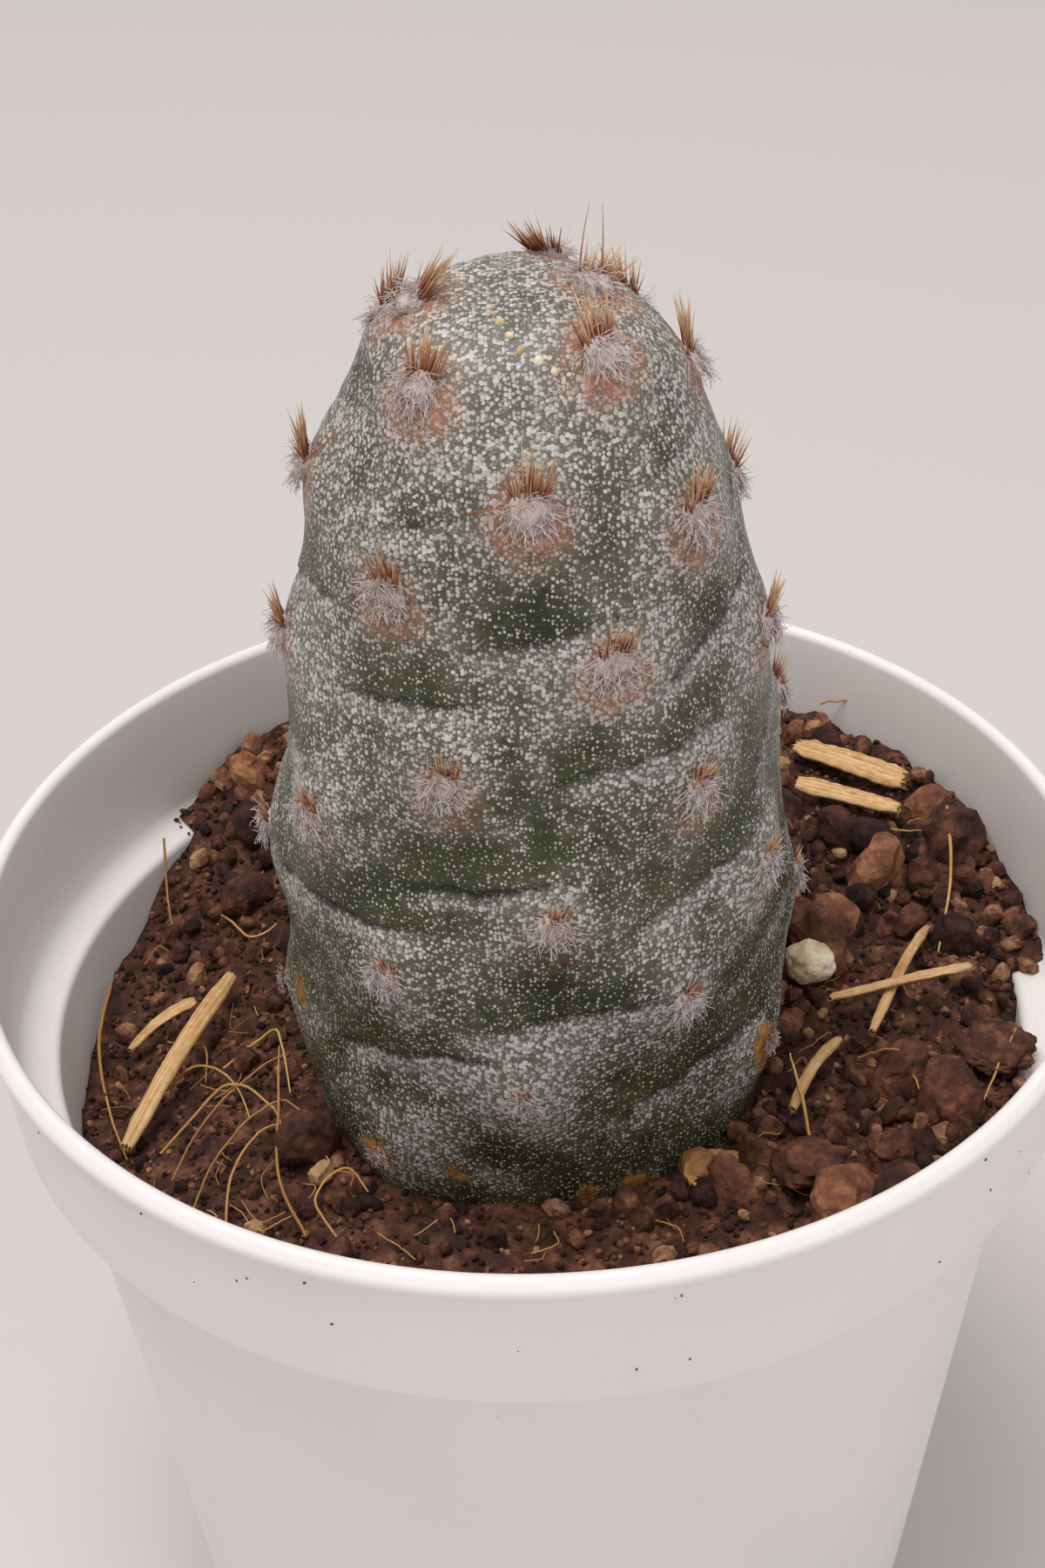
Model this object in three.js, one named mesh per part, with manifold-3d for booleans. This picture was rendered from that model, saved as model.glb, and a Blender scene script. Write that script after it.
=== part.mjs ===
// A small tephrocactus in a white nursery pot. Millimetres, +Z up.
// The origin is the centre of the pot's foot, on the surface that it stands on.
// The pot, the soil, the stem and every loose thing on the soil are separate solids.
import * as THREE from 'three';
import { mergeVertices } from 'three/addons/utils/BufferGeometryUtils.js';
import Module from 'manifold-3d';

const wasm = await Module();
wasm.setup();

// ---- driving dimensions ----
const clearance = 0.3; // left between neighbouring solids

// pot: a 5.5 cm nursery pot of moulded polypropylene
const potHeight = 50;
const rimRadius = 27.5;
const lipHeight = 1.15; // the rolled bead round the rim
const wallThickness = 0.55;
const collarTopRadius = 27.0;
const collarFootRadius = 26.5;
const stepHeight = 41.8; // underside of the step between collar and body
const bodyTopRadius = 24.65;
const footRadius = 19.8;
const footWidth = 1.1;
const floorUnderside = 1.5;
const floorThickness = 0.8;
const drainRadius = 1.7;
const drainRing = 12.5;
const drainCount = 6;
const potSegments = 60;

// soil: its level as [angle, height], angles anticlockwise from +X, the front at -90
const levelAtWall = [[-180, 37.4], [-140, 39.6], [-90, 41.4], [-40, 42.0], [8, 43.1], [33, 45.0], [90, 45.2],
  [128, 44.8], [145, 41.8], [160, 38.9], [180, 37.4]];
const levelAtStem = [[-180, 41.0], [-90, 41.6], [-40, 42.0], [0, 43.0], [40, 44.2], [90, 44.6], [140, 43.0],
  [180, 41.0]];
const soilSegments = 56;
const soilRings = 9;
const soilLumps = 0.3;

// stem: its axis stands a little behind the pot's, and it is about 24 across
const stemY = -3.3;
const stemOutline = [[0, 81.45], [1.4, 81.4], [2.6, 81.2], [3.7, 80.75], [4.65, 80.1], [5.5, 79.2], [6.3, 78.1],
  [7.05, 76.9], [7.75, 75.6], [8.35, 74.1], [8.75, 72.6], [9.15, 70.5], [9.6, 68.5], [10.15, 66], [10.6, 63],
  [10.95, 60], [11.35, 57], [11.6, 54], [11.6, 50], [11.5, 46], [11.1, 41], [10.35, 37], [9.6, 33.5],
  [8.0, 30.4], [4.6, 28.4], [0, 28]];
const stemSegments = 44;
const stemSteps = 40;
const tubercleHeight = 0.8;
const tubercleReach = 2.2;

// areoles: one genetic spiral, a turn of 99.5 degrees and a rise of 0.93 each
const areoleTurn = 99.5;
const areoleRise = 0.93;
const areoleStart = { angle: -93.5, height: 48.7 };
const areoleLag = { angle: 8, over: 29 }; // the spiral slackens a little at mid height
const areoleTilt = { height: 1.0, angle: -15 }; // and it stands higher on the right
const firstAreole = -4;
const lastAreole = 39;
const missingAreoles = [3, 36];
// the last ones crowd round the blunt crown: number, then angle and height
const crownAreoles = { 33: [-52, 80.1], 34: [45, 78.6], 35: [150, 79.3], 37: [-3, 81.1], 38: [70, 80.8],
  39: [-176, 80.8] };
// areoles that grew off the spiral: number, then degrees and millimetres
const strays = { '-4': [0, -0.8], '-1': [13, 0], 0: [0, 0.5], 1: [0, 0.8], 8: [-9, 0.4], 10: [10, -0.5],
  11: [0, -0.9], 14: [4, 0], 15: [-3, -0.4], 18: [1, -0.5], 19: [-4, 0], 23: [-11, 0.6], 25: [3, 0.8],
  26: [-10, 0.4], 28: [10, 0.6], 30: [-11, 0.5], 32: [18, 1.3] };
const tuft = { radius: 1.2, shoulder: 0.65, padHeight: 0.8, height: 2.1, lift: 0.35, rake: 0.45, sides: 7 };

// ---- small helpers ----
const radians = THREE.MathUtils.degToRad;
const wrap = (angle) => THREE.MathUtils.euclideanModulo(angle + 180, 360) - 180;

// a smooth walk between [key, value] pairs in rising order of key
function along(pairs, key) {
  for (let i = 1; i < pairs.length; i += 1) {
    if (key <= pairs[i][0]) {
      const t = (key - pairs[i - 1][0]) / (pairs[i][0] - pairs[i - 1][0]);
      return THREE.MathUtils.lerp(pairs[i - 1][1], pairs[i][1], THREE.MathUtils.smoothstep(t, 0, 1));
    }
  }
  return pairs[pairs.length - 1][1];
}

function closed(geometry) {
  const plain = geometry.clone();
  plain.deleteAttribute('normal');
  plain.deleteAttribute('uv');
  return mergeVertices(plain, 1e-4);
}

function toSolid(geometry) {
  const merged = closed(geometry);
  return new wasm.Manifold(new wasm.Mesh({
    numProp: 3,
    vertProperties: Float32Array.from(merged.attributes.position.array),
    triVerts: Uint32Array.from(merged.index.array),
  }));
}

function toGeometry(solid) {
  const mesh = solid.getMesh();
  const geometry = new THREE.BufferGeometry();
  geometry.setAttribute('position', new THREE.BufferAttribute(mesh.vertProperties.slice(), 3));
  geometry.setIndex(new THREE.BufferAttribute(mesh.triVerts.slice(), 1));
  return geometry;
}

// LatheGeometry turns about Y: this stands it up on Z. The profile runs anticlockwise from the
// axis, so that its faces point out
function turned(profile, segments) {
  const points = profile.map(([r, z]) => new THREE.Vector2(r, z));
  return new THREE.LatheGeometry(points, segments).rotateX(Math.PI / 2);
}

// a closed skin over rows of points, with one point at each end
function skin(first, rows, last) {
  const count = rows[0].length;
  const points = [first, ...rows.flat(), last];
  const faces = [];
  const at = (row, k) => 1 + row * count + (k % count);
  for (let k = 0; k < count; k += 1) {
    faces.push(0, at(0, k), at(0, k + 1));
    for (let row = 1; row < rows.length; row += 1) {
      faces.push(at(row - 1, k), at(row, k), at(row, k + 1), at(row - 1, k), at(row, k + 1), at(row - 1, k + 1));
    }
    faces.push(points.length - 1, at(rows.length - 1, k + 1), at(rows.length - 1, k));
  }
  const geometry = new THREE.BufferGeometry().setFromPoints(points);
  geometry.setIndex(faces);
  return geometry;
}

// ---- pot ----
function bodyRadius(z) {
  return THREE.MathUtils.lerp(footRadius, bodyTopRadius, z / stepHeight);
}

function collarRadius(z) {
  return THREE.MathUtils.lerp(collarFootRadius, collarTopRadius, (z - stepHeight) / (potHeight - lipHeight - stepHeight));
}

// inner face of the pot's wall, from the floor up to the rim, as [radius, height]
function innerWall() {
  const floorTop = floorUnderside + floorThickness;
  const ledge = stepHeight + wallThickness;
  const underLip = potHeight - lipHeight;
  return [
    [bodyRadius(floorTop) - wallThickness, floorTop],
    [bodyRadius(20) - wallThickness, 20],
    [bodyRadius(stepHeight) - wallThickness - 0.05, ledge - 0.7],
    [bodyRadius(stepHeight) - wallThickness + 0.15, ledge - 0.1],
    [collarFootRadius - wallThickness - 0.7, ledge],
    [collarFootRadius - wallThickness - 0.2, ledge + 0.25],
    [collarRadius(ledge + 0.9) - wallThickness, ledge + 0.9],
    [collarRadius(underLip) - wallThickness, underLip],
  ];
}

function makePot() {
  const underLip = potHeight - lipHeight;
  const profile = [
    [0, floorUnderside],
    [footRadius - footWidth, floorUnderside],
    [footRadius - footWidth, 0],
    [footRadius, 0],
    [bodyRadius(20), 20],
    [bodyRadius(stepHeight) - 0.05, stepHeight - 0.5],
    [bodyRadius(stepHeight) + 0.35, stepHeight],
    [collarFootRadius - 0.3, stepHeight],
    [collarFootRadius, stepHeight + 0.3],
    [collarRadius(underLip) - 0.05, underLip - 0.1],
    [rimRadius - 0.1, underLip + 0.1],
    [rimRadius, potHeight - 0.6],
    [rimRadius - 0.12, potHeight - 0.2],
    [rimRadius - 0.42, potHeight],
    [rimRadius - 0.75, potHeight - 0.08],
    [rimRadius - 0.95, potHeight - 0.4],
    ...innerWall().reverse(),
    [0, floorUnderside + floorThickness],
  ];
  let pot = toSolid(turned(profile, potSegments));
  for (let i = 0; i < drainCount; i += 1) {
    const angle = radians(30 + (i * 360) / drainCount);
    const drill = new THREE.CylinderGeometry(drainRadius, drainRadius, 6, 12).rotateX(Math.PI / 2);
    drill.translate(drainRing * Math.cos(angle), drainRing * Math.sin(angle), floorUnderside);
    pot = pot.subtract(toSolid(drill));
  }
  return toGeometry(pot);
}

// ---- stem ----
const outline = new THREE.SplineCurve(stemOutline.map(([r, z]) => new THREE.Vector2(r, z)));

// where the outline stands at a height, on its way down from the crown
function outlineAt(height) {
  let low = 0;
  let high = 1;
  for (let i = 0; i < 30; i += 1) {
    const middle = (low + high) / 2;
    if (outline.getPointAt(middle).y > height) low = middle; else high = middle;
  }
  return low;
}

function outlineNormal(u) {
  const tangent = outline.getTangentAt(THREE.MathUtils.clamp(u, 0.004, 0.996));
  return new THREE.Vector2(-tangent.y, tangent.x);
}

// a point of the smooth column, with the way out of it
function column(angle, u) {
  const p = outline.getPointAt(u);
  const n = outlineNormal(u);
  const c = Math.cos(radians(angle));
  const s = Math.sin(radians(angle));
  return {
    point: new THREE.Vector3(p.x * c, stemY + p.x * s, p.y),
    normal: new THREE.Vector3(n.x * c, n.x * s, n.y).normalize(),
  };
}

function areolePlace(i) {
  if (crownAreoles[i]) return crownAreoles[i];
  const [turn, rise] = strays[i] ?? [0, 0];
  const lag = areoleLag.angle * Math.sin((Math.PI * i) / areoleLag.over);
  const angle = wrap(areoleStart.angle + areoleTurn * i - lag + turn);
  const tilt = areoleTilt.height * Math.cos(radians(angle - areoleTilt.angle));
  return [angle, areoleStart.height + areoleRise * i + tilt + rise];
}

const areoles = [];
for (let i = firstAreole; i <= lastAreole; i += 1) {
  if (!missingAreoles.includes(i)) {
    const [angle, height] = areolePlace(i);
    areoles.push(column(angle, outlineAt(height)));
  }
}

// how far the tubercles lift the skin at a point of the column
function tubercleLift(point) {
  let lift = 0;
  for (const areole of areoles) {
    const away = point.distanceTo(areole.point) / tubercleReach;
    lift += tubercleHeight * Math.exp(-0.5 * away * away);
  }
  return Math.min(lift, tubercleHeight * 1.2);
}

function makeStem(grow = 0) {
  const rows = [];
  for (let step = 1; step < stemSteps; step += 1) {
    const row = [];
    for (let k = 0; k < stemSegments; k += 1) {
      const { point, normal } = column((k * 360) / stemSegments, step / stemSteps);
      row.push(point.clone().addScaledVector(normal, tubercleLift(point) + grow));
    }
    rows.push(row);
  }
  const top = new THREE.Vector3(0, stemY, stemOutline[0][1] + grow + 0.2);
  const foot = new THREE.Vector3(0, stemY, stemOutline[stemOutline.length - 1][1] - grow);
  return skin(top, rows, foot);
}

// ---- areole tufts: a low pad of wool with its bristles drawn as one raked cone ----
function makeTuft({ point, normal }) {
  const geometry = turned([[0, 0], [tuft.radius, 0.1], [tuft.shoulder, tuft.padHeight], [0, tuft.height]], tuft.sides);
  const frame = new THREE.Matrix4();
  const up = new THREE.Vector3(0, 0, 1).addScaledVector(normal, -normal.z).normalize();
  if (normal.z > 0.98) up.set(0, 1, 0);
  const side = new THREE.Vector3().crossVectors(up, normal).normalize();
  frame.makeBasis(side, new THREE.Vector3().crossVectors(normal, side), normal);
  const position = geometry.attributes.position;
  for (let k = 0; k < position.count; k += 1) {
    position.setY(k, position.getY(k) + tuft.rake * Math.max(0, position.getZ(k) - tuft.padHeight));
  }
  geometry.applyMatrix4(frame);
  const base = point.clone().addScaledVector(normal, tubercleLift(point) + tuft.lift);
  return geometry.translate(base.x, base.y, base.z);
}

// ---- soil ----
function soilHeight(x, y) {
  const angle = THREE.MathUtils.radToDeg(Math.atan2(y, x));
  const outward = THREE.MathUtils.smoothstep(Math.hypot(x, y - stemY), 11, 23);
  const level = THREE.MathUtils.lerp(along(levelAtStem, angle), along(levelAtWall, angle), outward);
  const lumps = Math.sin(x * 1.3 + 0.4) * Math.cos(y * 1.1) + 0.6 * Math.sin(x * 2.3 - y * 1.7);
  return level + soilLumps * lumps;
}

// the ground as a solid block with the soil's lumpy top, wider than the pot
function groundBlock() {
  const wide = rimRadius + 1;
  const rows = [];
  for (let ring = 1; ring <= soilRings + 1; ring += 1) {
    const row = [];
    for (let k = 0; k < soilSegments; k += 1) {
      const angle = (k * 2 * Math.PI) / soilSegments;
      const r = (wide * Math.min(ring, soilRings)) / soilRings;
      const x = r * Math.cos(angle);
      const y = r * Math.sin(angle);
      row.push(new THREE.Vector3(x, y, ring > soilRings ? 0 : soilHeight(x, y)));
    }
    rows.push(row);
  }
  return skin(new THREE.Vector3(0, 0, 40), rows, new THREE.Vector3(0, 0, 0));
}

// everything inside the pot's wall, a clearance away from it
function potFilling() {
  const wall = innerWall().map(([r, z]) => [r - clearance, z + clearance]);
  return turned([[0, wall[0][1]], ...wall, [0, wall[wall.length - 1][1]]], potSegments);
}

function makeSoil() {
  let soil = toSolid(potFilling()).intersect(toSolid(groundBlock()));
  soil = soil.subtract(toSolid(makeStem(clearance + 0.05)));
  for (const areole of areoles.filter(({ point }) => point.z < 47)) {
    const room = new THREE.SphereGeometry(tuft.radius + 1.2, 10, 6);
    room.translate(...areole.point.clone().addScaledVector(areole.normal, 1).toArray());
    soil = soil.subtract(toSolid(room));
  }
  const bodies = soil.decompose().sort((a, b) => b.volume() - a.volume());
  return toGeometry(bodies[0]);
}

// ---- loose things on the soil: each lies just above it ----
function restingHeight(x, y, reach) {
  let top = 0;
  for (let k = 0; k < 8; k += 1) {
    const angle = (k * Math.PI) / 4;
    top = Math.max(top, soilHeight(x + reach * Math.cos(angle), y + reach * Math.sin(angle)));
  }
  return Math.max(top, soilHeight(x, y)) + clearance;
}

// a straw or strip: straight between its ends, width across and thickness up
function makeStrip({ from, to, width, thickness, rise = [0, 0] }) {
  const ends = [from, to].map(([x, y], i) => {
    const z = restingHeight(x, y, width) + thickness / 2 + rise[i];
    return new THREE.Vector3(x, y, z);
  });
  const middle = ends[0].clone().lerp(ends[1], 0.5);
  middle.z = Math.max(middle.z, restingHeight(middle.x, middle.y, width) + thickness / 2) + 0.15;
  const section = new THREE.Shape();
  section.absellipse(0, 0, thickness / 2, width / 2, 0, 2 * Math.PI);
  const extrudePath = new THREE.QuadraticBezierCurve3(ends[0], middle, ends[1]);
  return new THREE.ExtrudeGeometry(section, { steps: 5, curveSegments: 2, extrudePath });
}

// a lump: a ball squashed to its three half sizes, with a rough outside
function makeLump({ at, half, turn = 0, roughness = 0.12 }) {
  const geometry = closed(new THREE.IcosahedronGeometry(1, 1));
  const position = geometry.attributes.position;
  for (let k = 0; k < position.count; k += 1) {
    const p = new THREE.Vector3().fromBufferAttribute(position, k);
    p.multiplyScalar(1 - roughness * (0.5 + 0.5 * Math.sin(5 * p.x + 3 * p.y - 4 * p.z)));
    position.setXYZ(k, p.x * half[0], p.y * half[1], p.z * half[2]);
  }
  geometry.rotateZ(radians(turn));
  const [x, y] = at;
  return geometry.translate(x, y, restingHeight(x, y, Math.max(half[0], half[1])) + half[2] * 0.95);
}

// ---- materials ----
const finish = (color, roughness) => ({ color, roughness, metalness: 0 });
const finishes = {
  polypropylene: finish(0xe6e1e0, 0.45),
  pottingSoil: finish(0x4f3026, 0.95),
  cactusSkin: finish(0x5c6656, 0.7),
  wool: finish(0xb79a86, 0.9),
  perlite: finish(0xe6d6b4, 0.85),
  straw: finish(0xcfa871, 0.7),
  bark: finish(0x7a4a33, 0.9),
};

const part = new THREE.Group();

function add(name, geometry, finishName) {
  const mesh = new THREE.Mesh(geometry, new THREE.MeshStandardMaterial(finishes[finishName]));
  mesh.name = name;
  part.add(mesh);
}

// ---- assembly ----
add('pot', makePot(), 'polypropylene');
add('soil', makeSoil(), 'pottingSoil');
add('stem', makeStem(), 'cactusSkin');
areoles.forEach((areole, i) => {
  add(`areole_${String(i + 1).padStart(2, '0')}`, makeTuft(areole), 'wool');
});

add('perlite_bead', makeLump({ at: [13.6, -0.6], half: [1.3, 1.2, 1.1], roughness: 0.06 }), 'perlite');
add('lava_lump_left', makeLump({ at: [12.3, -13.9], half: [1.9, 1.5, 0.9], turn: 10 }), 'bark');
add('lava_lump_right', makeLump({ at: [15.9, -13.2], half: [1.2, 1.1, 0.9] }), 'bark');
add('bark_flake', makeLump({ at: [22.0, -6.4], half: [1.9, 2.0, 0.55], turn: 20 }), 'bark');
add('bark_strip_back', makeStrip({ from: [14.6, 15.7], to: [20.2, 12.6], width: 1.8, thickness: 0.7 }), 'straw');
add('bark_strip_front', makeStrip({ from: [14.3, 12.4], to: [19.6, 10.2], width: 1.3, thickness: 0.6 }), 'straw');
add('pale_straw', makeStrip({ from: [-16.3, 4.0], to: [-20.4, -7.6], width: 1.1, thickness: 0.6 }), 'straw');
add('straw_blade', makeStrip({ from: [-18.0, 3.4], to: [-21.4, 1.4], width: 0.8, thickness: 0.4 }), 'straw');
add('straw_long', makeStrip({ from: [20.2, 2.3], to: [16.0, -5.2], width: 0.5, thickness: 0.5, rise: [0.2, 0] }), 'straw');
add('straw_cross', makeStrip({ from: [14.4, -3.2], to: [21.4, -2.6], width: 0.6, thickness: 0.5, rise: [0.7, 1.5] }), 'straw');
add('straw_short', makeStrip({ from: [14.6, -5.6], to: [12.0, -9.9], width: 0.6, thickness: 0.5 }), 'straw');

export default part;
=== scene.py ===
import math
import random
import bpy
import numpy as np
from mathutils import Matrix, Vector, noise


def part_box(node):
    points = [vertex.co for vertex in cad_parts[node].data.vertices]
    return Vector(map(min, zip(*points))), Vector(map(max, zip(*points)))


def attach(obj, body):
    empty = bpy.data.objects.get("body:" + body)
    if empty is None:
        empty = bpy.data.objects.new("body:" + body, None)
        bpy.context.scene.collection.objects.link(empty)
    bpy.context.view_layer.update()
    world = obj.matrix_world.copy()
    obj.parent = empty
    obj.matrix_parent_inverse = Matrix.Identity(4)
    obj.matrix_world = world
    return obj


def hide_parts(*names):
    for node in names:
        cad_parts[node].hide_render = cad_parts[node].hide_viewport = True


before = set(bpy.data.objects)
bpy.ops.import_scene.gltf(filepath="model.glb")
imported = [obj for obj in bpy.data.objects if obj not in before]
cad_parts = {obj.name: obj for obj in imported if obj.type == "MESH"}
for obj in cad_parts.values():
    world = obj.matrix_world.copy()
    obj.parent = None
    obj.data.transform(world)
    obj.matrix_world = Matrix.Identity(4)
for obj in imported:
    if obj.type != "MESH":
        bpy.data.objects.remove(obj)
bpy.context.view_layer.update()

mm = 0.001
scene = bpy.context.scene


# small helpers: colours, nodes, meshes
def linear(hexText):
    channels = [int(hexText[i:i + 2], 16) / 255 for i in (0, 2, 4)]
    return tuple(c / 12.92 if c <= 0.04045 else ((c + 0.055) / 1.055) ** 2.4 for c in channels) + (1.0,)


def addNode(tree, kind, links=None, **settings):
    node = tree.nodes.new(kind)
    for name, value in settings.items():
        setattr(node, name, value)
    for socket, value in (links or {}).items():
        if isinstance(value, bpy.types.NodeSocket):
            tree.links.new(value, node.inputs[socket])
        else:
            node.inputs[socket].default_value = value
    return node


def newMaterial(name, roughness, ior=1.45):
    material = bpy.data.materials.new(name)
    material.use_nodes = True
    tree = material.node_tree
    shader = tree.nodes["Principled BSDF"]
    shader.inputs["Roughness"].default_value = roughness
    shader.inputs["IOR"].default_value = ior
    place = addNode(tree, "ShaderNodeTexCoord").outputs["Object"]
    return material, tree, shader, place


def addRamp(tree, factor, stops):
    node = addNode(tree, "ShaderNodeValToRGB", {0: factor})
    ramp = node.color_ramp
    while len(ramp.elements) < len(stops):
        ramp.elements.new(0.5)
    for element, (position, hexText) in zip(ramp.elements, stops):
        element.position = position
        element.color = linear(hexText)
    return node.outputs[0]


def readAttribute(tree, name):
    return addNode(tree, "ShaderNodeAttribute", attribute_name=name).outputs["Fac"]


def addMath(tree, operation, a, b, clamp=False):
    return addNode(tree, "ShaderNodeMath", {0: a, 1: b}, operation=operation, use_clamp=clamp).outputs[0]


def addNoise(tree, place, scale, detail, roughness=0.5):
    return addNode(tree, "ShaderNodeTexNoise",
                   {"Vector": place, "Scale": scale, "Detail": detail, "Roughness": roughness})


def mapRange(tree, value, fromLow, fromHigh, toLow=0.0, toHigh=1.0):
    return addNode(tree, "ShaderNodeMapRange",
                   {0: value, 1: fromLow, 2: fromHigh, 3: toLow, 4: toHigh}).outputs[0]


def addBump(tree, shader, strength, distance, height):
    bump = addNode(tree, "ShaderNodeBump", {"Strength": strength, "Distance": distance, "Height": height})
    tree.links.new(bump.outputs[0], shader.inputs["Normal"])


def addMix(tree, factor, a, b):
    return addNode(tree, "ShaderNodeMix", {0: factor, 6: a, 7: b}, data_type="RGBA").outputs[2]


def meshObject(name, points, faces, material):
    mesh = bpy.data.meshes.new(name)
    mesh.from_pydata([tuple(p) for p in points], [], faces)
    mesh.validate()
    mesh.update()
    mesh.polygons.foreach_set("use_smooth", [True] * len(mesh.polygons))
    mesh.materials.append(material)
    piece = bpy.data.objects.new(name, mesh)
    scene.collection.objects.link(piece)
    return piece


def setAttribute(piece, name, values):
    layer = piece.data.attributes.new(name, "FLOAT", "POINT")
    layer.data.foreach_set("value", np.asarray(values, dtype=np.float32))


def finishPiece(piece, slotName, *nodes):
    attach(piece, "root")
    if nodes:
        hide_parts(*nodes)
    return piece


def nodePoints(name):
    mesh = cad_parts[name].data
    points = np.empty(len(mesh.vertices) * 3)
    mesh.vertices.foreach_get("co", points)
    return points.reshape(-1, 3)


def gridFaces(rows, columns, start=0):
    faces = []
    for row in range(rows - 1):
        for k in range(columns):
            after = (k + 1) % columns
            a = start + row * columns
            faces.append((a + k, a + columns + k, a + columns + after, a + after))
    return faces


def smoothStep(value, low, high):
    t = np.clip((value - low) / (high - low), 0, 1)
    return t * t * (3 - 2 * t)


def bakeModifier(piece):
    graph = bpy.context.evaluated_depsgraph_get()
    graph.update()
    made = bpy.data.meshes.new_from_object(piece.evaluated_get(graph))
    piece.modifiers.clear()
    old = piece.data
    piece.data = made
    bpy.data.meshes.remove(old)
    return piece


def runTree(piece, tree, **values):
    modifier = piece.modifiers.new(tree.name, "NODES")
    modifier.node_group = tree
    for item in tree.interface.items_tree:
        if item.item_type == "SOCKET" and item.in_out == "INPUT" and item.name in values:
            modifier[item.identifier] = values[item.name]
    piece.update_tag()
    return bakeModifier(piece)


def newTree(name, inputs):
    tree = bpy.data.node_groups.new(name, "GeometryNodeTree")
    tree.interface.new_socket("Geometry", in_out="INPUT", socket_type="NodeSocketGeometry")
    for label, kind, value in inputs:
        socket = tree.interface.new_socket(label, in_out="INPUT", socket_type=kind)
        if value is not None:
            socket.default_value = value
    tree.interface.new_socket("Geometry", in_out="OUTPUT", socket_type="NodeSocketGeometry")
    return tree, tree.nodes.new("NodeGroupInput"), tree.nodes.new("NodeGroupOutput")


# camera: 56 mm lens, looking down over the front of the rim
cameraSet = {"lens": 56.0, "place": (0, -95.77 * mm, 121.61 * mm), "aim": (0, 0, 50 * mm),
             "yaw": -0.0036, "pitch": -0.0364, "roll": 0.0339}


def makeCamera():
    data = bpy.data.cameras.new("studioCamera")
    data.lens = cameraSet["lens"]
    data.sensor_width = 36
    data.clip_start = 0.005
    data.clip_end = 20
    camera = bpy.data.objects.new("studioCamera", data)
    scene.collection.objects.link(camera)
    place = Vector(cameraSet["place"])
    forward = (Vector(cameraSet["aim"]) - place).normalized()
    right = Vector((1, 0, 0))
    up = right.cross(forward)
    base = Matrix((right, up, -forward))
    turn = (Matrix.Rotation(cameraSet["roll"], 3, "Z") @ Matrix.Rotation(cameraSet["pitch"], 3, "X")
            @ Matrix.Rotation(cameraSet["yaw"], 3, "Y"))
    camera.matrix_world = Matrix.Translation(place) @ (turn @ base).transposed().to_4x4()
    scene.camera = camera


makeCamera()
print("camera ready")


# moulded polypropylene: a satin white skin with a faint spark-eroded grain that softens highlights
def makePolypropylene():
    material, tree, shader, place = newMaterial("mouldedPolypropylene", 0.42, 1.49)
    cloud = addNoise(tree, place, 90.0, 4.0)
    tint = addRamp(tree, cloud.outputs["Fac"], [(0.3, "ece8e7"), (0.7, "f1edec")])
    # fine dust that has settled in the grain, specks about 0.15 mm across
    dust = addNoise(tree, place, 3200.0, 2.0)
    dustMask = mapRange(tree, dust.outputs["Fac"], 0.70, 0.80, 0.0, 0.35)
    mixed = addNode(tree, "ShaderNodeMix", {0: dustMask, 6: tint, 7: linear("b9a79d")}, data_type="RGBA")
    tree.links.new(mixed.outputs[2], shader.inputs["Base Color"])
    grain = addNoise(tree, place, 2600.0, 3.0)
    addBump(tree, shader, 0.12, 0.03 * mm, grain.outputs["Fac"])
    rough = mapRange(tree, cloud.outputs["Fac"], 0, 1, 0.36, 0.5)
    tree.links.new(rough, shader.inputs["Roughness"])
    shader.inputs["Subsurface Weight"].default_value = 0.15
    shader.inputs["Subsurface Radius"].default_value = (1.0, 0.9, 0.85)
    shader.inputs["Subsurface Scale"].default_value = 1.2 * mm
    return material


# potting mix: damp red-brown crumbs of bark, lava and peat, matt all over
def makePottingMix(name, stops, scale, bumpDepth):
    material, tree, shader, place = newMaterial(name, 0.9, 1.4)
    patch = addNoise(tree, place, scale, 6.0, 0.65)
    tone = addMath(tree, "ADD", patch.outputs["Fac"], readAttribute(tree, "shade"))
    colour = addRamp(tree, tone, stops)
    tree.links.new(colour, shader.inputs["Base Color"])
    pits = addNoise(tree, place, 3500.0, 5.0, 0.7)
    addBump(tree, shader, 0.8, bumpDepth, pits.outputs["Fac"])
    # a little damp sheen on the darker parts
    rough = mapRange(tree, pits.outputs["Fac"], 0.3, 0.7, 0.62, 0.95)
    tree.links.new(rough, shader.inputs["Roughness"])
    return material


# waxy cactus skin: olive green under dense pale wax dots, with grey bloom and painted shade in the creases
skinSet = {"dotSpacing": 0.18, "patchSize": 3.5, "dotDepth": 0.04}


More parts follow.
